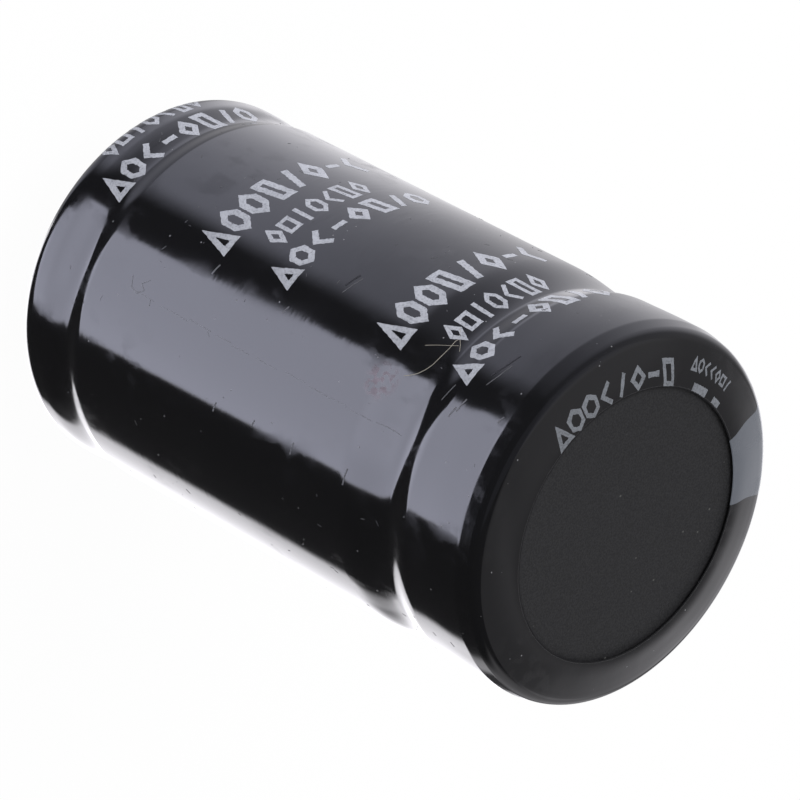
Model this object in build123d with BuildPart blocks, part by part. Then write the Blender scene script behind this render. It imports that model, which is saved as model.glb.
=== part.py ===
"""A radial supercapacitor cell of the snap-in kind, 35 mm across and 60 mm tall.

Millimetres. The cell stands as it does on its circuit board: +Z points away from the board,
z = 0 is the plane where the sleeve sits on the board, and the origin is midway between the two
terminals. The positive terminal is at +X, the negative one at -X under the polarity stripe.
"""

import os
from math import atan, degrees, sin

from build123d import *

os.makedirs("parts", exist_ok=True)

# Clearances
film_gap = 0.05       # the shrunk film round the can
board_gap = 0.1       # the terminal board and its rubber inside the can
element_room = 0.35   # between the wound element and the wall, for the tape
element_gap = 0.1     # the wound element where the bead grips it
tape_gap = 0.03       # the tape round the element
hole_gap = 0.05       # each hole round what passes through it

# Can: impact-extruded aluminium, one piece with its base and its curled rim
can_radius = 17.4
can_height = 61.0
can_wall = 0.5
can_base = 0.7
can_corner = 0.9
curl_radius = 1.95

# Rolled beads: the lower one seats the terminal board, the upper one grips the element
bead_depth = 0.45
bead_to_base = 2.4
board_bead_to_seat = 2.9
element_bead_to_seat = 4.6
bead_above_board = 2.18
bead_below_base = 11.27

# Sleeve: shrink film, thicker where it gathers over the base; each fold is measured inwards
film = 0.2
film_lip = 0.35
base_fold = 4.7
seat_fold = 3.2

# Insulating disc under the sleeve on the base of the can
disc_margin = 2.2
disc_thickness = 0.15

# Terminal board: laminate with a rubber facing
deck_recess = 1.6
rubber_thickness = 1.4
board_thickness = 1.85

# Vent plug in the board
vent_y = 9.0
vent_radius = 1.9
vent_flange_radius = 3.0
vent_flange = 0.8
vent_diaphragm = 0.5
vent_bore_radius = 1.1

# Snap-in terminals: tinned strip, bent down from its flange and kinked to hold in the board
pitch = 10.0
strip = 0.8
flange_width = 5.0
flange_lap = 2.6
flange_round = 2.0
shoulder_width = 3.6
prong_width = 1.5
prong_length = 6.3
prong_tip = 0.8
taper_length = 0.8
kink = 0.9
kink_start = 1.0
kink_rise = 1.9
kink_length = 3.4
strip_bend = 1.1

# Rivets that join each terminal to its tabs through the board
rivet_offset = 3.6
rivet_radius = 1.2
rivet_head_radius = 2.2
rivet_head = 0.7
rivet_head_round = 0.45
peened_radius = 2.0
peened_head = 0.8
peened_round = 0.4
washer_radius = 2.6
washer_thickness = 0.4

# Foil tabs: two for each pole, lapped under the rivet and folded into the element
tab = 0.25
tab_width = 4.6
tab_lap = 2.6
tab_fold = 1.5
tab_rise = 2.6
tab_bend = 0.6
tab_insertion = 5.0
inner_tab_reach = 4.4
outer_tab_reach = 3.3

# Wound element with its tape, and the insulators at its two ends
tab_space = 5.2
insulator_thickness = 0.5
insulator_margin = 1.0
pad_thickness = 0.5
pad_margin = 0.9
mandrel_radius = 2.2
turn_pitch = 2.4
turn_groove = 0.5
turn_depth = 0.6
tape = 0.15
tape_above_end = 4.0
tape_below_bead = 2.8

# Heights, from the board upwards
curl_bottom = film + film_gap
can_top = curl_bottom + can_height
board_bottom = deck_recess + rubber_thickness
board_top = board_bottom + board_thickness
insulator_bottom = board_top + tab_space
element_bottom = insulator_bottom + insulator_thickness
element_top = can_top - can_base - pad_thickness
disc_top = can_top + disc_thickness
sleeve_top = disc_top + film_lip

# Bottoms of the beads; each bead runs in gently from the seat side, then out again more sharply
board_bead_z = board_top + bead_above_board
element_bead_z = can_top - bead_below_base
tape_top = element_bead_z - element_bead_to_seat - tape_below_bead

# Radii and places that follow from the can and from the terminals
deck_radius = can_radius - can_wall - board_gap
disc_radius = can_radius - disc_margin
base_lip_radius = can_radius - base_fold
element_radius = can_radius - can_wall - element_room
rivet_x = pitch / 2 + rivet_offset
inner_tab_x = rivet_x - inner_tab_reach
outer_tab_x = rivet_x + outer_tab_reach
shank_hole = rivet_radius + hole_gap
vent_hole = vent_radius + hole_gap


def bead_side(run):
    """Turn and radius of the two equal tangent arcs that reach the depth of a bead in `run`."""
    turn = 2 * atan(bead_depth / run)
    return degrees(turn), run / (2 * sin(turn))


def bead_line(height, to_seat, offset):
    """Draw one bead upwards, on the face that lies `offset` outside the can's own face."""
    turn, radius = bead_side(to_seat)
    shoulder = JernArc((can_radius + offset, height - to_seat), (0, 1), radius + offset, turn)
    bottom = JernArc(shoulder @ 1, shoulder % 1, radius - offset, -turn)
    turn, radius = bead_side(bead_to_base)
    bottom = JernArc(bottom @ 1, bottom % 1, radius - offset, -turn)
    JernArc(bottom @ 1, bottom % 1, radius + offset, turn)


def wall_line(offset, bottom, top):
    """Draw a face of the side wall with both beads, from `bottom` to `top`."""
    radius = can_radius + offset
    Line((radius, bottom), (radius, board_bead_z - board_bead_to_seat))
    bead_line(board_bead_z, board_bead_to_seat, offset)
    Line((radius, board_bead_z + bead_to_base), (radius, element_bead_z - element_bead_to_seat))
    bead_line(element_bead_z, element_bead_to_seat, offset)
    Line((radius, element_bead_z + bead_to_base), (radius, top))


def save(piece, name):
    """Label one finished piece and write it to its own file."""
    piece.part.label = name
    export_step(piece.part, f"parts/{name}.step")


# ---- Can: the wall with its beads, the closed base, and the rim curled into the rubber ----
curl_z = curl_bottom + curl_radius
curl_centre = (can_radius - curl_radius, curl_z)
inner_corner = can_corner - can_wall
with BuildPart() as can:
    with BuildSketch(Plane.XZ):
        with BuildLine():
            wall_line(0, curl_z, can_top - can_corner)
            JernArc((can_radius, can_top - can_corner), (0, 1), can_corner, 90)
            Line((can_radius - can_corner, can_top), (0, can_top))
            Line((0, can_top), (0, can_top - can_base))
            Line((0, can_top - can_base), (can_radius - can_wall - inner_corner, can_top - can_base))
            JernArc((can_radius - can_wall - inner_corner, can_top - can_base), (1, 0), inner_corner, -90)
            wall_line(-can_wall, curl_z, can_top - can_base - inner_corner)
            CenterArc(curl_centre, curl_radius - can_wall, 180, 180)
            CenterArc(curl_centre, curl_radius, 180, 180)
            Line(
                (can_radius - 2 * curl_radius, curl_z),
                (can_radius - 2 * curl_radius + can_wall, curl_z),
            )
        make_face()
    revolve(axis=Axis.Z)
save(can, "can")

# ---- Insulating disc: fibre sheet laid on the base, held by the lip of the sleeve ----
with BuildPart() as base_disc:
    with BuildSketch(Plane.XY.offset(can_top)):
        Circle(disc_radius)
    extrude(amount=disc_thickness)
save(base_disc, "base_disc")

# ---- Sleeve: film shrunk into both beads, over the disc at the top and round the curl below ----
film_in = film_gap
film_out = film_gap + film
with BuildPart() as sleeve:
    with BuildSketch(Plane.XZ):
        with BuildLine():
            wall_line(film_out, curl_z, can_top - can_corner)
            JernArc((can_radius + film_out, can_top - can_corner), (0, 1), can_corner + film_out, 90)
            Polyline(
                (can_radius - can_corner, can_top + film_out),
                (disc_radius, sleeve_top),
                (base_lip_radius, sleeve_top),
                (base_lip_radius, disc_top),
                (disc_radius + film_in, disc_top),
                (disc_radius + film_in + disc_thickness, can_top + film_in),
                (can_radius - can_corner, can_top + film_in),
            )
            JernArc((can_radius - can_corner, can_top + film_in), (1, 0), can_corner + film_in, -90)
            wall_line(film_in, curl_z, can_top - can_corner)
            JernArc((can_radius + film_in, curl_z), (0, -1), curl_radius + film_in, -90)
            Polyline(
                (can_radius - curl_radius, film),
                (can_radius - seat_fold, film),
                (can_radius - seat_fold, 0),
                (can_radius - curl_radius, 0),
            )
            JernArc((can_radius + film_out, curl_z), (0, -1), curl_radius + film_out, -90)
        make_face()
    revolve(axis=Axis.Z)
save(sleeve, "sleeve")

# ---- Terminal board: laminate disc that rests on the lower bead, drilled for rivets and vent ----
with BuildPart() as terminal_board:
    with BuildSketch(Plane.XY.offset(board_bottom)):
        Circle(deck_radius)
        with Locations((-rivet_x, 0), (rivet_x, 0)):
            Circle(shank_hole, mode=Mode.SUBTRACT)
        with Locations((0, vent_y)):
            Circle(vent_hole, mode=Mode.SUBTRACT)
    extrude(amount=board_thickness)
save(terminal_board, "terminal_board")

# ---- Rubber facing: the curled rim of the can bites into it and seals the cell ----
with BuildPart() as rubber_seal:
    with BuildSketch(Plane.XY.offset(deck_recess)):
        Circle(deck_radius)
        with Locations((-rivet_x, 0), (rivet_x, 0)):
            Circle(shank_hole, mode=Mode.SUBTRACT)
        with Locations((0, vent_y)):
            Circle(vent_hole, mode=Mode.SUBTRACT)
    extrude(amount=rubber_thickness)
    with BuildSketch(Plane.XZ):
        with BuildLine():
            bite_out = CenterArc(curl_centre, curl_radius + board_gap, 180, 180)
            bite_in = CenterArc(curl_centre, curl_radius - can_wall - board_gap, 180, 180)
            for outer, inner in ((bite_out @ 0, bite_in @ 0), (bite_out @ 1, bite_in @ 1)):
                lift = Vector(0, board_gap)
                Polyline(outer, outer + lift, inner + lift, inner)
        make_face()
    revolve(axis=Axis.Z, mode=Mode.SUBTRACT)
save(rubber_seal, "rubber_seal")

# ---- Vent plug: soft plug pushed in from inside; its thin end opens under pressure ----
with BuildPart() as vent_plug:
    with BuildSketch(Plane.XY.offset(deck_recess)):
        with Locations((0, vent_y)):
            Circle(vent_radius)
    extrude(amount=board_top - deck_recess)
    with BuildSketch(Plane.XY.offset(board_top)):
        with Locations((0, vent_y)):
            Circle(vent_flange_radius)
    extrude(amount=vent_flange)
    with BuildSketch(Plane.XY.offset(deck_recess + vent_diaphragm)):
        with Locations((0, vent_y)):
            Circle(vent_bore_radius)
    extrude(amount=board_top + vent_flange - deck_recess - vent_diaphragm, mode=Mode.SUBTRACT)
save(vent_plug, "vent_plug")

# ---- Both poles: terminal, rivet, washer and two tabs, the same on each side of the board ----
blade_x = pitch / 2
flange_z = deck_recess - strip / 2
flange_end = rivet_x + flange_lap
kink_z = -kink_start - kink_rise
lower_kink_z = -kink_start - kink_length
tab_end = element_bottom + tab_insertion
fold_z = board_top + tab_rise
washer_bottom = board_top + 2 * tab
washer_top = washer_bottom + washer_thickness
head_bottom = deck_recess - strip - rivet_head

for pole, side in (("positive", 1), ("negative", -1)):
    # Terminal: strip bent down from its flange and kinked, then blanked to shoulders and a prong
    with BuildPart() as terminal:
        with BuildSketch(Plane.XZ):
            with BuildLine():
                FilletPolyline(
                    (side * flange_end, flange_z),
                    (side * blade_x, flange_z),
                    (side * blade_x, -kink_start),
                    (side * (blade_x + kink), kink_z),
                    (side * blade_x, lower_kink_z),
                    (side * blade_x, -prong_length),
                    radius=strip_bend,
                )
            trace(line_width=strip)
        extrude(amount=flange_width / 2, both=True)
        with BuildSketch(Plane.YZ):
            with BuildLine():
                half = Polyline(
                    (0, deck_recess),
                    (flange_width / 2, deck_recess),
                    (flange_width / 2, deck_recess - strip),
                    (shoulder_width / 2, 0),
                    (prong_width / 2, 0),
                    (prong_width / 2, taper_length - prong_length),
                    (prong_tip / 2, -prong_length),
                    (0, -prong_length),
                )
                mirror(half, about=Plane.YZ)
            make_face()
        extrude(amount=flange_end + strip, both=True, mode=Mode.INTERSECT)
        fillet(terminal.edges().filter_by(Axis.Z).group_by(Axis.X)[-1 if side > 0 else 0], flange_round)
        with Locations((side * rivet_x, 0, deck_recess)):
            Hole(shank_hole, depth=strip)
    save(terminal, f"{pole}_terminal")

    # Rivet: domed head under the flange, shank through the board, end peened over the washer
    with BuildPart() as rivet:
        with BuildSketch(Plane.XY.offset(head_bottom)):
            with Locations((side * rivet_x, 0)):
                Circle(rivet_head_radius)
        extrude(amount=rivet_head)
        fillet(rivet.edges().group_by(Axis.Z)[0], rivet_head_round)
        with BuildSketch(Plane.XY.offset(deck_recess - strip)):
            with Locations((side * rivet_x, 0)):
                Circle(rivet_radius)
        extrude(amount=washer_top - deck_recess + strip)
        with BuildSketch(Plane.XY.offset(washer_top)):
            with Locations((side * rivet_x, 0)):
                Circle(peened_radius)
        extrude(amount=peened_head)
        chamfer(rivet.edges().group_by(Axis.Z)[-1], peened_round)
    save(rivet, f"{pole}_rivet")

    # Washer: spreads the peened end over the soft tabs
    with BuildPart() as washer:
        with BuildSketch(Plane.XY.offset(washer_bottom)):
            with Locations((side * rivet_x, 0)):
                Circle(washer_radius)
                Circle(shank_hole, mode=Mode.SUBTRACT)
        extrude(amount=washer_thickness)
    save(washer, f"{pole}_washer")

    # Tabs: foil strips lapped on the board, folded for slack and led down into the turns
    for place, tab_x, away, layer in (("inner", inner_tab_x, -1, 0), ("outer", outer_tab_x, 1, 1)):
        lap_z = board_top + (layer + 0.5) * tab
        fold_x = tab_x + away * tab_fold
        with BuildPart() as strip_tab:
            with BuildSketch(Plane.XZ):
                with BuildLine():
                    FilletPolyline(
                        (side * (rivet_x - away * tab_lap), lap_z),
                        (side * fold_x, lap_z),
                        (side * fold_x, fold_z),
                        (side * tab_x, fold_z),
                        (side * tab_x, tab_end),
                        radius=tab_bend,
                    )
                trace(line_width=tab)
            extrude(amount=tab_width / 2, both=True)
            with Locations((side * rivet_x, 0, lap_z + tab / 2)):
                Hole(shank_hole, depth=tab)
        save(strip_tab, f"{pole}_{place}_tab")

# ---- Tab insulator: plastic disc on the end of the element, slotted for the four tabs ----
tab_slots = [(side * x, 0) for side in (-1, 1) for x in (inner_tab_x, outer_tab_x)]
with BuildPart() as tab_insulator:
    with BuildSketch(Plane.XY.offset(insulator_bottom)):
        Circle(element_radius - insulator_margin)
        Circle(mandrel_radius, mode=Mode.SUBTRACT)
        with Locations(*tab_slots):
            Rectangle(tab + 2 * hole_gap, tab_width + 2 * hole_gap, mode=Mode.SUBTRACT)
    extrude(amount=insulator_thickness)
save(tab_insulator, "tab_insulator")

# ---- Wound element: foil and separator rolled on a mandrel, pinched where the bead grips it ----
half_pitch = turn_pitch / 2
first_turn = mandrel_radius + half_pitch
half_turns = int((element_radius - half_pitch - first_turn) / half_pitch)
with BuildPart() as wound_element:
    with BuildSketch(Plane.XY.offset(element_bottom)):
        Circle(element_radius)
        Circle(mandrel_radius, mode=Mode.SUBTRACT)
    extrude(amount=element_top - element_bottom)
    with BuildSketch(Plane.XZ):
        with BuildLine() as grip:
            bead_line(element_bead_z, element_bead_to_seat, -can_wall - element_gap)
            Line(grip.edges().sort_by(Axis.Z)[0] @ 0, grip.edges().sort_by(Axis.Z)[-1] @ 1)
        make_face()
    revolve(axis=Axis.Z, mode=Mode.SUBTRACT)
    # The edges of the foils stand out as one spiral, drawn as half circles about two centres
    with BuildSketch(Plane.XY.offset(element_bottom)):
        with BuildLine():
            for half_turn in range(half_turns):
                odd = half_turn % 2
                CenterArc((odd * half_pitch, 0), first_turn + half_turn * half_pitch, 180 * odd, 180)
        trace(line_width=turn_groove)
    extrude(amount=turn_depth, mode=Mode.SUBTRACT)
    with BuildSketch(Plane.XY.offset(element_bottom)):
        with Locations(*tab_slots):
            Rectangle(tab + 2 * hole_gap, tab_width + 2 * hole_gap)
    extrude(amount=tab_insertion + hole_gap, mode=Mode.SUBTRACT)
save(wound_element, "wound_element")

# ---- Element tape: a few turns of film that hold the outer turn closed ----
with BuildPart() as element_tape:
    with BuildSketch(Plane.XY.offset(element_bottom + tape_above_end)):
        Circle(element_radius + tape_gap + tape)
        Circle(element_radius + tape_gap, mode=Mode.SUBTRACT)
    extrude(amount=tape_top - element_bottom - tape_above_end)
save(element_tape, "element_tape")

# ---- Base pad: keeps the element off the bare base of the can ----
with BuildPart() as base_pad:
    with BuildSketch(Plane.XY.offset(element_top)):
        Circle(can_radius - can_wall - pad_margin)
    extrude(amount=pad_thickness)
save(base_pad, "base_pad")
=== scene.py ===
"""Looks of a snap-in supercapacitor: a shrunk black film round an aluminium can, set out in the
order it is put together. Lengths are written in millimetres and turned into metres by MM."""
import math
import random

import bpy
from mathutils import Matrix, Vector


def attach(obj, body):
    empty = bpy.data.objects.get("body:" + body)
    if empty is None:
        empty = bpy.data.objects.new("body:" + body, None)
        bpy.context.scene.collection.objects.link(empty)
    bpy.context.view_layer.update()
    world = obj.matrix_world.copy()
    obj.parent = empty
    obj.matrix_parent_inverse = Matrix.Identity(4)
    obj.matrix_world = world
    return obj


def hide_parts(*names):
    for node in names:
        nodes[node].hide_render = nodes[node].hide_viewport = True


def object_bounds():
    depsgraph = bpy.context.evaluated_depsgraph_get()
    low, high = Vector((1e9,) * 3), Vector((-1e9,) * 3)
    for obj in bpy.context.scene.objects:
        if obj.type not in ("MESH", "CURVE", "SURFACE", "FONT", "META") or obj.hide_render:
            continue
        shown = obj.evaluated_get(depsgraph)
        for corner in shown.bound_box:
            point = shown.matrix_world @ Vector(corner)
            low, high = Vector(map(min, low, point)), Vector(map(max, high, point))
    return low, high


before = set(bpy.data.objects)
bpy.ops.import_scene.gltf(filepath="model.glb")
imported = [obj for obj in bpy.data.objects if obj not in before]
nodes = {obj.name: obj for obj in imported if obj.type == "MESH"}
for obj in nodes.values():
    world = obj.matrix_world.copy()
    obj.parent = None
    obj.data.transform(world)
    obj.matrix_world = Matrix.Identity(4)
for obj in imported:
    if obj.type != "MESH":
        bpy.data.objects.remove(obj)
cad_low, cad_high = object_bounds()
MM = 0.001


# Studio: a long lens over the base end, a white floor under the terminals, and even light from
# the sky and one large lamp. A tent, seen only in gloss, holds the softbox and the white paper.
class Tree:
    """Adds nodes to one node tree."""

    def __init__(self, tree):
        self.tree = tree
        tree.nodes.clear()

    def add(self, kind, settings=None, sockets=None, out=0):
        """A node of this type: its settings first, then the values or links of its sockets."""
        node = self.tree.nodes.new(kind)
        for name, value in (settings or {}).items():
            setattr(node, name, value)
        for key, value in (sockets or {}).items():
            if isinstance(value, Amount):
                self.tree.links.new(value.socket, node.inputs[key])
            else:
                node.inputs[key].default_value = value
        return Amount(self, node.outputs[out]) if len(node.outputs) else node

    def split(self, vector):
        """The three numbers of a vector."""
        node = self.add("ShaderNodeSeparateXYZ", None, {0: vector}).socket.node
        return [Amount(self, socket) for socket in node.outputs]

    def join(self, x, y, z):
        return self.add("ShaderNodeCombineXYZ", None, {0: x, 1: y, 2: z})


class Amount:
    """A node's output, written in sums: each operator adds its Math node."""

    def __init__(self, maker, socket):
        self.maker, self.socket = maker, socket

    def also(self, out):
        """Another output of the same node."""
        return Amount(self.maker, self.socket.node.outputs[out])

    def math(self, operation, *others):
        inputs = dict(enumerate((self, *others)))
        return self.maker.add("ShaderNodeMath", {"operation": operation}, inputs)

    def turned(self, operation, first):
        return self.maker.add("ShaderNodeMath", {"operation": operation}, {0: first, 1: self})

    def __add__(self, other): return self.math("ADD", other)
    def __sub__(self, other): return self.math("SUBTRACT", other)
    def __mul__(self, other): return self.math("MULTIPLY", other)
    def __truediv__(self, other): return self.math("DIVIDE", other)
    def __mod__(self, other): return self.math("FLOORED_MODULO", other)
    def __lt__(self, other): return self.math("LESS_THAN", other)
    def __abs__(self): return self.math("ABSOLUTE")
    def __rsub__(self, other): return self.turned("SUBTRACT", other)
    __radd__, __rmul__ = __add__, __mul__

    def rise(self, start, end):
        """Goes smoothly from 0 at start to 1 at end."""
        return self.maker.add("ShaderNodeMapRange", {"interpolation_type": "SMOOTHSTEP"},
                              {"Value": self, "From Min": start, "From Max": end})

    def within(self, low, high, soft):
        """1 between low and high, and 0 outside, with soft edges."""
        return self.rise(low - soft, low + soft) * (1 - self.rise(high - soft, high + soft))


scene = bpy.context.scene
scene.view_settings.view_transform = "Standard"


def stage_mesh(name, points, faces):
    """A studio piece, which isn't part of the object."""
    mesh = bpy.data.meshes.new(name)
    mesh.from_pydata(points, [], faces)
    piece = bpy.data.objects.new(name, mesh)
    scene.collection.objects.link(piece)
    return piece


def stage_material(name):
    material = bpy.data.materials.new(name)
    material.use_nodes = True
    return material, Tree(material.node_tree)


LENS_LENGTH, SENSOR = 269.25, 36
LENS_ASIDE, LENS_ABOVE, LENS_AWAY = -19.416, 10.484, 514.02
lens_right = Vector((-0.74134, 0.07111, 0.66735))
lens_up = Vector((-0.40401, -0.84129, -0.35918))
lens_back = lens_right.cross(lens_up)
base_centre = Vector((0, 0, cad_high.z))
camera = bpy.data.objects.new("camera", bpy.data.cameras.new("camera"))
scene.collection.objects.link(camera)
camera.data.lens, camera.data.sensor_width = LENS_LENGTH, SENSOR
camera.data.clip_start, camera.data.clip_end = 0.01, 100
turn = Matrix((lens_right, lens_up, lens_back)).transposed().to_4x4()
place = base_centre + MM * (LENS_ASIDE * lens_right + LENS_ABOVE * lens_up + LENS_AWAY * lens_back)
camera.matrix_world = Matrix.Translation(place) @ turn
scene.camera = camera

FLOOR_HALF = 6.0
FLOOR_GAP = 0.05 * MM
floor_z = cad_low.z - FLOOR_GAP
floor = stage_mesh("floor", [(x * FLOOR_HALF, y * FLOOR_HALF, floor_z) for x, y in
                             ((-1, -1), (1, -1), (1, 1), (-1, 1))], [(0, 1, 2, 3)])
floor.visible_glossy = False
floor_material, made = stage_material("floor paper")
sight = made.add("ShaderNodeLightPath")
paper = made.add("ShaderNodeBsdfDiffuse", None, {"Color": (0.9, 0.9, 0.9, 1)})
glow = made.add("ShaderNodeEmission", None, {"Color": (1, 1, 1, 1), "Strength": 1.0})
made.add("ShaderNodeOutputMaterial", None, {
    0: made.add("ShaderNodeMixShader", None, {0: sight * 0.97, 1: paper, 2: glow})})
floor.data.materials.append(floor_material)

scene.world = bpy.data.worlds.new("sky")
scene.world.use_nodes = True
made = Tree(scene.world.node_tree)
sight = made.add("ShaderNodeLightPath")
SKY_LIGHT, LAMP_WATTS, LAMP_SIZE, LAMP_AWAY = 0.62, 17, 1.2, 1.1
made.add("ShaderNodeOutputWorld", None, {0: made.add("ShaderNodeBackground", None, {
    "Color": (1, 1, 1, 1), "Strength": SKY_LIGHT + sight * (1 - SKY_LIGHT)})})

lamp_light = bpy.data.lights.new("large lamp", "AREA")
lamp_light.shape, lamp_light.size, lamp_light.energy = "DISK", LAMP_SIZE, LAMP_WATTS
lamp = bpy.data.objects.new("large lamp", lamp_light)
scene.collection.objects.link(lamp)
lamp_from = Vector((-0.25, -0.85, 1.0))
lamp.location = lamp_from * LAMP_AWAY
lamp.rotation_mode = "QUATERNION"
lamp.rotation_quaternion = lamp_from.to_track_quat("Z", "Y")
lamp.visible_glossy = False

TENT_RADIUS, TENT_MIDDLE = 0.45, 0.035
RINGS, SPOKES = 24, 48
WALL_GAZE = -39.8
SOFTBOX_BEARING, SOFTBOX_HEIGHT = 334.3, -33
SOFTBOX_WIDE, SOFTBOX_TALL = 34.9, 32
ROOM, SOFTBOX, PAPER, PAPER_EDGE = 0.05, 4.4, 2.6, 1.1
PAPER_DIM, PAPER_LOW, PAPER_HIGH = 0.7, 1.4, 2.05
tent_points = [Vector((math.sin(math.pi * i / RINGS) * math.cos(math.tau * j / SPOKES),
                       math.sin(math.pi * i / RINGS) * math.sin(math.tau * j / SPOKES),
                       math.cos(math.pi * i / RINGS))) * TENT_RADIUS + Vector((0, 0, TENT_MIDDLE))
               for i in range(RINGS + 1) for j in range(SPOKES)]
tent_faces = [(i * SPOKES + j, i * SPOKES + (j + 1) % SPOKES, (i + 1) * SPOKES + (j + 1) % SPOKES,
               (i + 1) * SPOKES + j) for i in range(RINGS) for j in range(SPOKES)]
tent = stage_mesh("tent", tent_points, tent_faces)
for seen_by in ("camera", "diffuse", "transmission", "volume_scatter", "shadow"):
    setattr(tent, "visible_" + seen_by, False)
tent_material, made = stage_material("tent cloth")
tent_material.cycles.emission_sampling = "NONE"
x, y, z = made.split(made.add("ShaderNodeTexCoord", None, None, "Object"))
reach = (x * x + y * y).math("SQRT")
bearing = (y * -1).math("ARCTAN2", x * -1) * (180 / math.pi) + 180
height = (z - TENT_MIDDLE).math("ARCTAN2", reach) * (180 / math.pi)
# Places on the tent are bearings and heights in degrees; the wall mirrors heights near WALL_GAZE.
lower = (WALL_GAZE - height).math("MINIMUM", 3.5).math("MAXIMUM", -1.2)
aside = ((bearing + (540 - SOFTBOX_BEARING) - lower * 1.1) % 360 - 180) / SOFTBOX_WIDE
above = (height - SOFTBOX_HEIGHT) / SOFTBOX_TALL
softbox = (1 - (aside * aside + above * above).rise(0.94, 1.06)) * (1 - height.rise(-21, -17.5))
softbox = softbox * (1 + 0.16 * height.rise(-38, -28) * (1 - aside.rise(0.2, 0.8)))
near_paper = bearing.within(77, 131, 3.5) * (1 - height.rise(-37, -31))
near_edge = bearing.within(76, 89, 4) * height.within(-36, -22, 4)
dim_paper = bearing.within(72, 122, 8) * height.rise(-34, -4) * (1 - height.rise(28, 42))
low_paper = bearing.within(132, 160, 6) * height.within(-28, 6, 8)
high_paper = bearing.within(124, 150, 6) * height.rise(8, 22) * (1 - height.rise(17, 41))
papers = PAPER * near_paper + PAPER_EDGE * near_edge + PAPER_DIM * dim_paper + (
    PAPER_LOW * low_paper + PAPER_HIGH * high_paper)
fall = height.rise(-38, -30) * bearing.rise(190, 285) * 0.8
under = height.within(-47, -41.5, 2) * 0.5 - (1 - height.rise(-52, -47)) * 0.38
top = 0.12 * height.rise(42, 47) * bearing.rise(126, 136)
dim_top = bearing.within(106, 131, 2) * height.rise(14, 28) * (0.42 - 0.2 * height.rise(35, 42))
backdrop = bearing.within(128, 276, 8) * (0.5 + 0.68 * bearing.rise(120, 190)) * (1 - fall) * (
    1 - height.rise(-4, 24) * 0.62) * (0.93 + under)
level = ROOM + SOFTBOX * softbox + papers + top + dim_top + backdrop
tint = made.add("ShaderNodeMix", {"data_type": "RGBA"}, {
    0: softbox.math("MAXIMUM", bearing.rise(150, 280)), 6: (1, 0.985, 1.03, 1),
    7: (0.965, 0.985, 1.2, 1)}, 2)
made.add("ShaderNodeOutputMaterial", None, {0: made.add("ShaderNodeEmission", None, {
    "Color": tint, "Strength": level})})
tent.data.materials.append(tent_material)


# Sleeve: black heat-shrink film, shrunk over the can, into its two rolled beads and
# round both ends. One flat sheet is wrapped on the section by Geometry Nodes, with slight waves,
# and carries the grey polarity stripe, wear, dust and a stain.
FILM_RADIUS = cad_high.x / MM
BASE_Z = cad_high.z / MM
FILM, LIP, LIP_GAP, LIP_ROUND = 0.15, 0.06, 0.26, 0.03
SEAT_LIP, BASE_LIP = 14.2, 12.7
SEAT_CORNER = 2.2
CREASE_DOWN, CREASE_SOFT, RIM_LEAN, RIM_RADIUS, BULGE = 2.5, 0.25, 10.5, 1.15, 0.1
RIM_DROP, RIM_TURN, RING_FLAT, RING_FALL, RING_INNER = 1.19, 81, 13.0, 0.27, 15.0
BEADS = ((6.85, 0.34, 2.0, 3.8), (49.98, 0.55, 2.9, 6.0))


def arc(across, up, radius, start, end, steps):
    """Points on an arc of the section, angles in degrees from straight out."""
    return [(across + radius * math.cos(math.radians(start + (end - start) * i / steps)),
             up + radius * math.sin(math.radians(start + (end - start) * i / steps)))
            for i in range(steps + 1)]


def bead_depth(z):
    """How far the film dips over the rolled beads, more sharply on the base's side of each."""
    depth = 0
    for at, dip, to_base, to_seat in BEADS:
        t = max(0, 1 - (z - at) / to_base if z > at else 1 - (at - z) / to_seat)
        depth += dip * (3 - 2 * t) * t * t
    return depth


def lean(z):
    """How far the film leans in above the crease at the top of the wall, where it bulges most."""
    over = max(0, z - BASE_Z + CREASE_DOWN)
    swell = min(1, max(0, (z - BEADS[1][0] - 2.4) / 5))
    eased = min(over, CREASE_SOFT)
    return math.tan(math.radians(RIM_LEAN)) * (over - eased + eased * eased / (2 * CREASE_SOFT)) - (
        BULGE * (3 - 2 * swell) * swell * swell)


def wall(inset, fine, coarse):
    """Points up the side wall, closer together over the beads and the crease."""
    points, z = [], SEAT_CORNER
    while z < RIM_START - 0.05:
        points.append((FILM_RADIUS - inset - bead_depth(z) - lean(z), z))
        near = z > BASE_Z - CREASE_DOWN - coarse or any(
            at - to_seat - coarse < z < at + to_base for at, _, to_base, to_seat in BEADS)
        z += fine if near else coarse
    return points


RIM_START = BASE_Z - RIM_DROP
rim_across = FILM_RADIUS - lean(RIM_START) - RIM_RADIUS * math.cos(math.radians(RIM_LEAN))
rim_up = RIM_START - RIM_RADIUS * math.sin(math.radians(RIM_LEAN))
outside = [(SEAT_LIP, 0.0), (SEAT_LIP + 0.6, 0.0)]
outside += arc(FILM_RADIUS - SEAT_CORNER, SEAT_CORNER, SEAT_CORNER, -90, -5, 16)
outside += wall(0, 0.1, 0.8)
outside += arc(rim_across, rim_up, RIM_RADIUS, RIM_LEAN, RIM_TURN, 20)
ring_edge = outside[-1][0]
for i in range(1, 13):
    across = ring_edge - (ring_edge - BASE_LIP - 0.1) * i / 12
    outside.append((across, BASE_Z - RING_FALL * max(
        0, (across - RING_FLAT) / (ring_edge - RING_FLAT)) ** 1.8))
outside += arc(BASE_LIP + LIP_ROUND, BASE_Z - LIP_ROUND, LIP_ROUND, 90, 180, 3)
inside = [(BASE_LIP, BASE_Z - LIP), (BASE_LIP + 0.7, BASE_Z - LIP - LIP_ROUND)]
inside += [(BASE_LIP + 1.4, BASE_Z - LIP - LIP_GAP), (RING_INNER, BASE_Z - LIP - LIP_GAP)]
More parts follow.
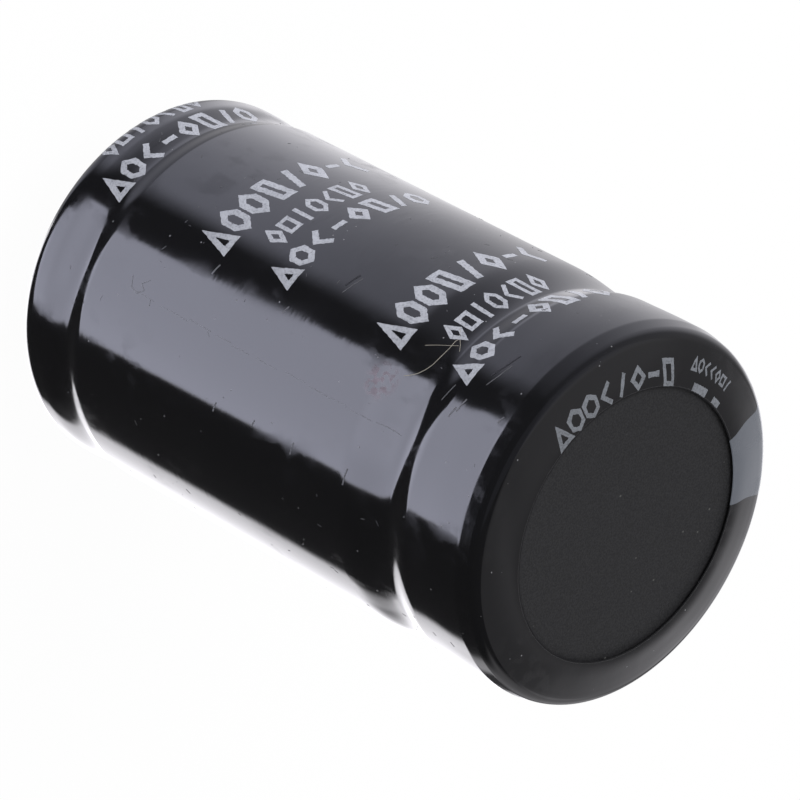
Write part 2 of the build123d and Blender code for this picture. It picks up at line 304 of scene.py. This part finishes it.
inside += arc(rim_across, rim_up, RIM_RADIUS - FILM, RIM_TURN, RIM_LEAN, 8)
inside += wall(FILM, 0.3, 2.5)[::-1]
inside += arc(FILM_RADIUS - SEAT_CORNER, SEAT_CORNER, SEAT_CORNER - FILM, -5, -90, 6)
inside += [(SEAT_LIP, FILM), (SEAT_LIP, 0.0)]
section = outside + inside
lengths = [0.0]
for one, two in zip(section, section[1:]):
    lengths.append(lengths[-1] + math.dist(one, two))
outside_length = lengths[len(outside) - 1]

curve = bpy.data.curves.new("sleeve section", "CURVE")
curve.dimensions = "3D"
spline = curve.splines.new("POLY")
spline.points.add(len(section) - 1)
for point, (across, up) in zip(spline.points, section):
    point.co = (across * MM, 0, up * MM, 1)
section_curve = bpy.data.objects.new("sleeve_section", curve)
scene.collection.objects.link(section_curve)

TURNS = 240
sheet = bpy.data.meshes.new("sleeve")
sheet.from_pydata([(math.tau * i / TURNS, length * MM, 0) for length in lengths
                   for i in range(TURNS + 1)], [],
                  [(r * (TURNS + 1) + i, r * (TURNS + 1) + i + 1, (r + 1) * (TURNS + 1) + i + 1,
                    (r + 1) * (TURNS + 1) + i)
                   for r in range(len(lengths) - 1) for i in range(TURNS)])
wrap_map = sheet.uv_layers.new(name="wrap")
for loop, spot in zip(sheet.loops, wrap_map.data):
    flat = sheet.vertices[loop.vertex_index].co
    spot.uv = (flat.x / math.tau, flat.y / (lengths[-1] * MM))
sheet.polygons.foreach_set("use_smooth", [True] * len(sheet.polygons))
sleeve = bpy.data.objects.new("sleeve_film", sheet)
scene.collection.objects.link(sleeve)

group = bpy.data.node_groups.new("wrap a sheet on a section", "GeometryNodeTree")
made = Tree(group)
for name, kind in (("Geometry", "Geometry"), ("Section", "Object"), ("Wave height", "Float"),
                   ("Wave scale", "Float"), ("Seed", "Float"), ("Material", "Material")):
    group.interface.new_socket(name, in_out="INPUT", socket_type="NodeSocket" + kind)
group.interface.new_socket("Geometry", in_out="OUTPUT", socket_type="NodeSocketGeometry")
given = made.add("NodeGroupInput")
angle, along, raised = made.split(made.add("GeometryNodeInputPosition"))
rail = made.add("GeometryNodeObjectInfo", None, {"Object": given.also("Section")}, "Geometry")
at = made.add("GeometryNodeSampleCurve", {"mode": "LENGTH"},
              {"Curves": rail, "Length": along}, "Position")
across, _, up = made.split(at)
tilt, _, climb = made.split(at.also("Tangent"))
round_x, round_y = angle.math("COSINE"), angle.math("SINE")
wave = made.add("ShaderNodeTexNoise", {"noise_dimensions": "4D"}, {
    "Vector": made.join(across * round_x, across * round_y, up * 0.6),
    "W": given.also("Seed"), "Scale": given.also("Wave scale"), "Detail": 1.5}, 0)
raised = raised + (wave - 0.5) * given.also("Wave height")
across, up = across + raised * climb, up - raised * tilt
placed = made.add("GeometryNodeSetPosition", None, {
    "Geometry": given, "Position": made.join(across * round_x, across * round_y, up)})
closed = made.add("GeometryNodeMergeByDistance", None, {"Geometry": placed, "Distance": 1e-7})
real = made.add("GeometryNodeRealizeInstances", None, {0: closed})
made.add("NodeGroupOutput", None, {0: made.add("GeometryNodeSetMaterial", None, {
    "Geometry": real, "Material": given.also("Material")})})


class Finish(Tree):
    """A material: one shader of mixed colour, gloss and grain."""

    def __init__(self, name):
        self.material = bpy.data.materials.new(name)
        self.material.use_nodes = True
        super().__init__(self.material.node_tree)
        self.spot = self.add("ShaderNodeTexCoord", None, None, "Object")

    def noise(self, size, detail=2.0, stretch=(1, 1, 1), spot=None):
        """Cloudy variation; size is the width of one cloud in millimetres."""
        lengthened = self.add("ShaderNodeVectorMath", {"operation": "MULTIPLY"},
                              {0: spot or self.spot, 1: stretch})
        return self.add("ShaderNodeTexNoise", None, {
            "Vector": lengthened, "Scale": 1 / (size * MM), "Detail": detail})

    def specks(self, size, share):
        """Round specks a few tenths of size across, in this share of the cells."""
        cells = self.add("ShaderNodeTexVoronoi", None,
                         {"Vector": self.spot, "Scale": 1 / (size * MM)}, "Distance")
        chosen = self.add("ShaderNodeTexWhiteNoise", None, {"Vector": cells.also("Position")})
        return (1 - cells.rise(0.06, 0.12)) * (chosen < share)

    def mix(self, share, one, two):
        """A colour between two colours."""
        return self.add("ShaderNodeMix", {"data_type": "RGBA"}, {0: share, 6: one, 7: two}, 2)

    def surface(self, grain=None, depth=0.05, **sockets):
        """Ends the material; grain is a height, and depth its size in millimetres."""
        sockets = {name.replace("_", " "): value for name, value in sockets.items()}
        if grain is not None:
            sockets["Normal"] = self.add("ShaderNodeBump", None, {
                "Height": grain, "Distance": depth * MM, "Strength": 1.0})
        shader = self.add("ShaderNodeBsdfPrincipled", None, sockets)
        self.add("ShaderNodeOutputMaterial", None, {0: shader})
        return self.material


def outside_at(z):
    """Length along the outside of the section up to this height on the wall."""
    reached = [(length, up) for length, (across, up) in zip(lengths, outside)
               if across > FILM_RADIUS - 1 and up > SEAT_CORNER - 1]
    for (one, low_end), (two, high_end) in zip(reached, reached[1:]):
        if high_end >= z:
            return one + (two - one) * (z - low_end) / (high_end - low_end)
    return outside_length


PRINT_TURN, PRINT_MIDDLE = 272.5, 132.5
BLACK_FILM = (0.0055, 0.0055, 0.0062, 1)
STRIPE_INK = (0.096, 0.105, 0.124, 1)
STRIPE_HALF, STRIPE_ON_RING, MINUS_PITCH, SIDE_END = 5.4, 4.6, 11.65, BASE_Z - 1
ARC = math.radians(1) * FILM_RADIUS
STAIN = (PRINT_TURN + PRINT_MIDDLE - 92.3, outside_at(BASE_Z - 16.9))
film = Finish("black shrink film")
u, v, _ = film.split(film.add("ShaderNodeUVMap", {"uv_map": "wrap"}))
along_film = v * lengths[-1]
side_length = outside_at(BASE_Z - 1.4)
over_rim = along_film.rise(side_length, side_length + 1.8)
from_stripe = abs((u * 360 - 180) * ARC + over_rim * 0.92) + over_rim * (
    STRIPE_HALF - STRIPE_ON_RING)
minus = from_stripe.within(-1, 2.6, 0.04) * ((along_film + 3) % MINUS_PITCH).within(4, 5.4, 0.04)
stripe = from_stripe.within(-1, STRIPE_HALF, 0.04) * (along_film < outside_length) * (
    1 - minus * (along_film < SIDE_END))
dust = film.specks(0.8, 0.12)
smear = film.noise(7, 3, (1, 1, 0.5))
rub = film.noise(1.6, 5, (1, 1, 0.6))
worn = film.noise(9, 2).rise(0.46, 0.6) * rub.rise(0.47, 0.6)
pulled = film.noise(0.42, 3, (0.2, 0.2, 1)) * film.noise(5, 1).rise(0.45, 0.62)
stain_across = abs(u * 360 - STAIN[0]) * ARC
stain_along = along_film - STAIN[1]
stain = (1 - (stain_across * stain_across + stain_along * stain_along).rise(0.4, 4.5)) * (
    film.noise(0.6, 3).rise(0.4, 0.6))
colour = film.mix(stripe, BLACK_FILM, STRIPE_INK)
colour = film.mix(dust * 0.5, colour, (0.3, 0.3, 0.32, 1))
colour = film.mix(stain * 0.4, colour, (0.13, 0.072, 0.088, 1))
at_lip = along_film.rise(outside_length - 0.25, outside_length - 0.1)
gloss = 0.08 + smear.rise(0.5, 0.75) * 0.05 + worn * 0.1 + dust * 0.4 + stripe * 0.12 + (
    stain * 0.22 + at_lip * 0.8)
height = smear * 0.3 + dust * 0.3 + rub * 0.11 + pulled * 0.2 + film.noise(0.7, 3) * 0.05
film_material = film.surface(height, 0.02, Base_Color=colour, Roughness=gloss, IOR=1.5)


def wrap(piece, tree, values):
    """Gives the piece a tree of Geometry Nodes with these inputs."""
    modifier = piece.modifiers.new("wrap", "NODES")
    modifier.node_group = tree
    for item in tree.interface.items_tree:
        if item.in_out == "INPUT" and item.name in values:
            modifier[item.identifier] = values[item.name]


film_values = {"Section": section_curve, "Wave height": 0.05 * MM, "Wave scale": 1 / (9 * MM),
               "Seed": 4.0, "Material": film_material}
wrap(sleeve, group, film_values)


def make_plain(piece):
    """Turns the evaluated piece into a plain mesh and takes its modifiers away."""
    bpy.context.view_layer.update()
    seen = piece.evaluated_get(bpy.context.evaluated_depsgraph_get())
    result = bpy.data.meshes.new_from_object(seen)
    piece.modifiers.clear()
    piece.data = result


def shift_opening(piece):
    """Moves the lip over the base to one side, with what is printed on the ring round it."""
    for vertex in piece.data.vertices:
        reach = math.hypot(vertex.co.x, vertex.co.y) / MM
        t = min(1, max(0, (15.4 - reach) / 2.4)) * (vertex.co.z > (BASE_Z - 1) * MM)
        vertex.co += OPENING_SHIFT * (3 - 2 * t) * t * t


OPENING_SHIFT = Vector((-0.195, 0.46, 0)) * MM
make_plain(sleeve)
shift_opening(sleeve)
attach(sleeve, "root")
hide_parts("sleeve")


# Print: rows of plain shapes in pale ink on the film, the same block again and again down the
# sleeve, cut off where the film ends. Each stroke is a thin closed skin of ink on the film.
PRINT_PITCH, BLOCKS = 23.3, 3
INK_UNDER, INK_OVER, STATION = -0.006, 0.014, 0.22
chance = random.Random(11)
ink_points, ink_faces = [], []


def stroke(path, width, closed=False):
    """A band of ink along a path of corners, (across, up) in millimetres on the flat film."""
    corners = [Vector(c) for c in path]
    count = len(corners)
    sides = []
    for i, corner in enumerate(corners):
        before = corners[i - 1] if closed or i else corner * 2 - corners[1]
        after = corners[(i + 1) % count] if closed or i < count - 1 else corner * 2 - corners[-2]
        into, out = (corner - before).normalized(), (after - corner).normalized()
        along = (into + out).normalized()
        half = width / 2 / max(0.35, along.dot(out))
        sides.append((corner, Vector((-along.y, along.x)) * half))
    if closed:
        sides.append(sides[0])
    stations = []
    for (one, off_one), (two, off_two) in zip(sides, sides[1:]):
        steps = max(1, math.ceil((two - one).length / STATION))
        stations += [(one.lerp(two, k / steps),
                      off_one.lerp(off_two, k / steps) * chance.uniform(0.84, 1.08))
                     for k in range(steps)]
    if not closed:
        stations.append(sides[-1])
    first = len(ink_points)
    for spot, off in stations:
        for edge, level in ((off, INK_OVER), (-off, INK_OVER), (-off, INK_UNDER), (off, INK_UNDER)):
            ink_points.append((spot.x + edge.x, spot.y + edge.y, level))
    total = len(stations)
    for i in range(total if closed else total - 1):
        here, there = first + 4 * i, first + 4 * ((i + 1) % total)
        for k in range(4):
            ink_faces.append((here + k, here + (k + 1) % 4, there + (k + 1) % 4, there + k))
    if not closed:
        ink_faces.append((first + 3, first + 2, first + 1, first))
        last = first + 4 * (total - 1)
        ink_faces.append((last, last + 1, last + 2, last + 3))


CLOSED = {
    "diamond": ((-1, 0), (0, -0.85), (1, 0), (0, 0.85)),
    "square": ((-1, -0.7), (1, -0.7), (1, 0.7), (-1, 0.7)),
    "triangle": ((-1.1, 0.9), (0, -0.8), (1.1, 0.9)),
    "hexagon": ((-1, -0.45), (0, -0.95), (1, -0.45), (1, 0.45), (0, 0.95), (-1, 0.45)),
    "leaning": ((-1.1, 1), (-0.4, -1), (1.1, -1), (0.4, 1)),
}
OPEN = {
    "slant": ((-0.5, -1), (0.5, 1)),
    "chevron": ((-0.7, -1), (0.7, 0), (-0.7, 1)),
    "dash": ((-1, 0), (1, 0)),
    "tick": ((0, -1), (0, 1)),
}


def row(start, end, left, right, pen, kinds):
    """A row of plain shapes between two distances from the base and two angles of the print."""
    cell = (right - left) * ARC / len(kinds)
    wide, tall = cell / 2 - pen * 0.72, (end - start - pen) / 2
    for i, kind in enumerate(kinds):
        x, y = left * ARC + (i + 0.5) * cell, -(start + end) / 2
        stroke([(x + a * wide, y + b * tall) for a, b in CLOSED.get(kind) or OPEN[kind]],
               pen, kind in CLOSED)


def print_block(name):
    """Gathers the strokes made so far into a flat block, drawn in angle and length."""
    mesh = bpy.data.meshes.new(name)
    mesh.from_pydata([(x / FILM_RADIUS, y * MM, z * MM) for x, y, z in ink_points], [], ink_faces)
    piece = bpy.data.objects.new(name, mesh)
    scene.collection.objects.link(piece)
    ink_points.clear()
    ink_faces.clear()
    return piece


row(8.3, 11.4, -30, 30, 0.6, ("hexagon", "slant", "leaning", "diamond", "dash", "chevron",
                              "hexagon", "triangle"))
row(12.3, 15.3, -18, 20, 0.42, ("diamond", "leaning", "chevron", "hexagon", "tick", "square",
                                "diamond"))
row(16.8, 20.9, -31, 30, 0.66, ("chevron", "dash", "diamond", "slant", "leaning", "hexagon",
                                "hexagon", "triangle"))
wall_block = print_block("wall print block")
row(0.15, 2.4, -31, 30, 0.46, ("leaning", "dash", "diamond", "slant", "chevron", "hexagon",
                               "hexagon", "triangle"))
row(1.6, 2.9, -62.5, -38.5, 0.24, ("slant", "square", "diamond", "chevron", "chevron", "hexagon",
                                   "triangle"))
stroke([(-51.5 * ARC, -0.5), (-42.5 * ARC, -0.5)], 0.75)
stroke([(-61.5 * ARC, -0.5), (-56.5 * ARC, -0.5)], 0.6)
ring_block = print_block("ring print block")

rows_tree = bpy.data.node_groups.new("repeat down the film", "GeometryNodeTree")
made = Tree(rows_tree)
for name, kind in (("Geometry", "Geometry"), ("Block", "Object"), ("Count", "Int"),
                   ("Pitch", "Float"), ("First", "Float"), ("Turn", "Float"), ("End", "Float"),
                   ("Section", "Object"), ("Wave height", "Float"), ("Wave scale", "Float"),
                   ("Seed", "Float"), ("Material", "Material")):
    rows_tree.interface.new_socket(name, in_out="INPUT", socket_type="NodeSocket" + kind)
rows_tree.interface.new_socket("Geometry", in_out="OUTPUT", socket_type="NodeSocketGeometry")
given = made.add("NodeGroupInput")
line = made.add("GeometryNodeMeshLine", None, {
    "Count": given.also("Count"),
    "Start Location": made.join(given.also("Turn"), given.also("First"), 0),
    "Offset": made.join(0, given.also("Pitch") * -1, 0)})
block_shape = made.add("GeometryNodeObjectInfo", None, {"Object": given.also("Block")}, "Geometry")
blocks = made.add("GeometryNodeInstanceOnPoints", None, {"Points": line, "Instance": block_shape})
flat = made.add("GeometryNodeRealizeInstances", None, {0: blocks})
px, py, pz = made.split(made.add("GeometryNodeInputPosition"))
cut = made.add("GeometryNodeSetPosition", None, {
    "Geometry": flat, "Position": made.join(px, py.math("MINIMUM", given.also("End")), pz)})
wrapped = made.add("GeometryNodeGroup", {"node_tree": group}, {
    "Geometry": cut, **{name: given.also(name) for name in film_values}})
made.add("NodeGroupOutput", None, {0: wrapped})


def ink(name, thin, thick):
    """Screen ink, grainy where it lies thin."""
    made = Finish(name)
    grain = made.noise(0.17, 2)
    cloud = made.noise(1.5, 3)
    density = grain.rise(0.3, 0.55) * 0.75 + cloud.rise(0.35, 0.6) * 0.25
    return made.surface(grain, 0.006, Base_Color=made.mix(density, thin, thick),
                        Roughness=0.25 + grain * 0.1, IOR=1.5)


pale_ink = ink("pale ink", (0.185, 0.193, 0.223, 1), (0.37, 0.382, 0.432, 1))
# The ring's print uses the same ink made darker: painted shade for the less lit ring.
ring_ink_darkened_for_shade = ink("ring ink darkened for shade", (0.08, 0.085, 0.095, 1), (0.165, 0.176, 0.198, 1))


def printed(name, block, count, first, material):
    """A piece of print: the block, this often from this length on, wrapped on the sleeve."""
    piece = bpy.data.objects.new(name, bpy.data.meshes.new(name))
    scene.collection.objects.link(piece)
    wrap(piece, rows_tree, {
        **film_values, "Block": block, "Count": count, "Pitch": PRINT_PITCH * MM,
        "First": first * MM, "Turn": math.radians(PRINT_TURN),
        "End": (outside_length - 0.05) * MM, "Material": material})
    make_plain(piece)
    shift_opening(piece)
    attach(piece, "root")


wall_first = outside_at(BASE_Z - 8.3) + 8.3
printed("film_print", wall_block, BLOCKS, wall_first, pale_ink)
printed("ring_print", ring_block, 1, outside_length, ring_ink_darkened_for_shade)


# Marks of handling on the film: one long scratch, a squiggle, nicks, short scuffs scattered all
# round, and three hairs of lint by the upper bead. Grey strips are painted highlights of a few
# wrinkles, and black rough strips are painted shade of two folds.
def mark(width, *path):
    """A thin stroke through points: an angle round the sleeve, on which the print's middle lies
    at PRINT_MIDDLE, and a way down the film from the base."""
    stroke([((PRINT_MIDDLE - turn) * ARC, -way) for turn, way in path], width)


SCRATCH_TURN, SCRATCH_START, SCRATCH_END, SCUFFS = 81.3, 12.6, 47, 230
drift, way = SCRATCH_TURN, SCRATCH_START
while way < SCRATCH_END:
    length = chance.uniform(1.5, 4.5)
    bent = drift + chance.uniform(-0.4, 0.4)
    mark(chance.uniform(0.04, 0.07), (drift, way), (bent, way + length * 0.5),
         (drift + chance.uniform(-0.25, 0.25), way + length))
    drift, way = SCRATCH_TURN + chance.uniform(-0.5, 0.5), way + length + chance.uniform(0.1, 1.2)
# Painted highlights: three grey strips where light wrinkles catch the light.
mark(0.1, (105.1, 6.7), (109, 6.25), (113.5, 5.9))
mark(0.12, (95.6, 10.1), (98.5, 9.85), (101.2, 9.6))
mark(0.1, (109.4, 26.5), (112.7, 26.2), (116.1, 25.85))
mark(0.08, (85.3, 48.6), (82.2, 48.2), (81.2, 47.3), (82.9, 46.6), (84.4, 47.2), (86.4, 46.4))
for turn, way, length in ((62.4, 34.3, 1.4), (62.8, 24.0, 1.8), (63.2, 17.1, 2.4),
                          (63.8, 29.2, 0.9), (98.2, 40.2, 1.6), (97.3, 30.6, 1.2),
                          (98.4, 3.1, 1.0), (97.0, 7.7, 2.0), (94.2, 8.2, 1.5)):
    mark(0.16, (turn - length * 1.2, way + 0.1), (turn, way), (turn + length, way - 0.15))
for _ in range(SCUFFS):
    turn, way = chance.uniform(0, 360), chance.uniform(3.2, 58)
    aim, length = chance.uniform(0, math.tau), chance.uniform(0.1, 0.55)
    mark(chance.uniform(0.04, 0.08), (turn, way),
         (turn + length * math.cos(aim) / ARC, way + length * math.sin(aim)))
scuff_and_highlight_block = print_block("scuffs")
mark(0.055, (96.6, 15.2), (97.6, 14.7), (99.1, 14.15), (101.2, 13.7), (103.6, 13.4), (107, 13.25),
     (110.2, 13.15), (113, 13.2), (114.6, 13.0))
mark(0.04, (107.2, 15.3), (109, 14.4), (110.6, 13.5), (112.2, 12.6))
mark(0.04, (117.4, 13.9), (115.2, 13.3), (112.6, 12.5), (110.8, 12.1))
lint_block = print_block("lint")
# Painted shade: two black rough strips where two folds in the film fall dark.
mark(0.15, (108, 6.95), (112.5, 6.4), (117.3, 6.0))
mark(0.2, (111.7, 26.8), (114.2, 26.6), (116.7, 26.35))
fold_shade_block = print_block("folds")
# This grey film colour serves the real scuffs and also the painted wrinkle highlights.
scuff_and_highlight_finish = Finish("scuffed film and painted wrinkle highlights")
scuff_and_highlight_material = scuff_and_highlight_finish.surface(None, Base_Color=(0.065, 0.065, 0.071, 1), Roughness=0.45)
lint = Finish("lint")
lint_material = lint.surface(None, Base_Color=(0.27, 0.25, 0.215, 1), Roughness=0.7)
# Black rough film for the strips that paint the shade of the folds.
fold_shade_finish = Finish("film painted dark for fold shade")
fold_shade_material = fold_shade_finish.surface(None, Base_Color=(0.008, 0.008, 0.01, 1), Roughness=0.6)
printed("film_scuffs", scuff_and_highlight_block, 1, wall_first, scuff_and_highlight_material)
printed("film_folds", fold_shade_block, 1, wall_first, fold_shade_material)
printed("lint", lint_block, 1, wall_first, lint_material)
for helper in (section_curve, wall_block, ring_block, scuff_and_highlight_block, lint_block, fold_shade_block):
    bpy.data.objects.remove(helper)


# Base disc: black vulcanised fibre board laid on the can's base, held down by the film's lip.
# It is matte, with short fibres and a few pale flecks.
disc = Finish("black fibre board")
fibres = disc.noise(0.4, 4)
weave = disc.noise(0.17, 2)
fleck = disc.specks(1.1, 0.1)
shade = disc.mix(weave.rise(0.35, 0.65), (0.0128, 0.0128, 0.0138, 1), (0.0238, 0.0238, 0.0254, 1))
shade = disc.mix(fleck * 0.6, shade, (0.12, 0.12, 0.115, 1))
disc_material = disc.surface(fibres * 0.6 + weave * 0.4, 0.05, Base_Color=shade,
                             Roughness=0.62 + weave * 0.2, IOR=1.36)


def finish_node(name, material):
    """Gives a node of the frame its finish."""
    slots = nodes[name].data.materials
    if len(slots) == 0:
        slots.append(material)
    for i in range(len(slots)):
        slots[i] = material


finish_node("base_disc", disc_material)


# Can: aluminium in one piece with its base, rolled with two beads and curled over the seal;
# bright, with fine lines round it.
can = Finish("drawn aluminium")
drawn = can.noise(0.5, 3, (0.15, 0.15, 1))
can_material = can.surface(drawn, 0.01, Base_Color=can.mix(drawn, (0.72, 0.73, 0.74, 1),
                           (0.82, 0.83, 0.84, 1)), Metallic=1.0, Roughness=0.25 + drawn * 0.15)
finish_node("can", can_material)


# Seal, vent plug and terminal board: a brown laminate board with a black rubber facing on its
# outer side, held between the lower bead and the curled rim. The vent plug is pushed in from inside.
rubber = Finish("black rubber")
bloom = rubber.noise(1.5, 4)
rubber_material = rubber.surface(rubber.noise(0.3, 2), 0.02, Base_Color=rubber.mix(
    bloom, (0.014, 0.014, 0.014, 1), (0.03, 0.03, 0.029, 1)), Roughness=0.55 + bloom * 0.25)
finish_node("rubber_seal", rubber_material)
finish_node("vent_plug", rubber_material)
board = Finish("paper laminate")
sheets = board.noise(1.2, 4, (1, 1, 5))
board_material = board.surface(board.noise(0.25, 3), 0.015, Base_Color=board.mix(
    sheets, (0.045, 0.02, 0.011, 1), (0.085, 0.038, 0.02, 1)), Roughness=0.35 + sheets * 0.2)
finish_node("terminal_board", board_material)


# Terminals and rivets: tinned strip, pressed, bent down and kinked to snap into a circuit board.
# Aluminium rivets hold them through board and rubber, peened over washers inside.
tin = Finish("tin plate")
cloud = tin.noise(1.4, 3)
tin_material = tin.surface(tin.noise(0.3, 2), 0.006, Base_Color=tin.mix(
    cloud, (0.62, 0.61, 0.58, 1), (0.75, 0.74, 0.71, 1)), Metallic=1.0,
    Roughness=0.22 + cloud * 0.22)
rivet = Finish("rivet aluminium")
worked = rivet.noise(0.5, 3)
rivet_material = rivet.surface(worked, 0.01, Base_Color=rivet.mix(
    worked, (0.6, 0.61, 0.62, 1), (0.78, 0.79, 0.8, 1)), Metallic=1.0,
    Roughness=0.3 + worked * 0.25)
for side in ("positive", "negative"):
    finish_node(side + "_terminal", tin_material)
    finish_node(side + "_rivet", rivet_material)
    finish_node(side + "_washer", rivet_material)


# Tabs: soft aluminium foil strips, two for each pole, folded from the element to the rivets
# through a slotted plastic insulator; a plastic pad lies at the element's other end.
foil = Finish("tab foil")
creased = foil.noise(0.8, 4, (1, 0.4, 1))
foil_material = foil.surface(creased, 0.03, Base_Color=foil.mix(
    creased, (0.7, 0.7, 0.71, 1), (0.84, 0.84, 0.85, 1)), Metallic=1.0,
    Roughness=0.28 + creased * 0.25)
for side in ("positive", "negative"):
    finish_node(side + "_inner_tab", foil_material)
    finish_node(side + "_outer_tab", foil_material)
plastic = Finish("insulator plastic")
haze = plastic.noise(1.5, 3)
plastic_material = plastic.surface(haze, 0.01, Base_Color=plastic.mix(
    haze, (0.62, 0.62, 0.58, 1), (0.74, 0.74, 0.7, 1)), Roughness=0.4 + haze * 0.2)
finish_node("tab_insulator", plastic_material)
finish_node("base_pad", plastic_material)


# Element: carbon-coated foils and paper wound tight on a mandrel, with the outer turn held by
# amber film tape.
carbon = Finish("carbon foil")
soot = carbon.noise(0.4, 4)
carbon_material = carbon.surface(soot, 0.02, Base_Color=carbon.mix(
    soot, (0.016, 0.016, 0.017, 1), (0.04, 0.04, 0.042, 1)), Roughness=0.65 + soot * 0.2)
finish_node("wound_element", carbon_material)
tape = Finish("film tape")
ply = tape.noise(2, 3, (1, 1, 0.3))
tape_material = tape.surface(ply, 0.01, Base_Color=tape.mix(
    ply, (0.36, 0.15, 0.03, 1), (0.48, 0.22, 0.05, 1)), Roughness=0.25 + ply * 0.15)
finish_node("element_tape", tape_material)
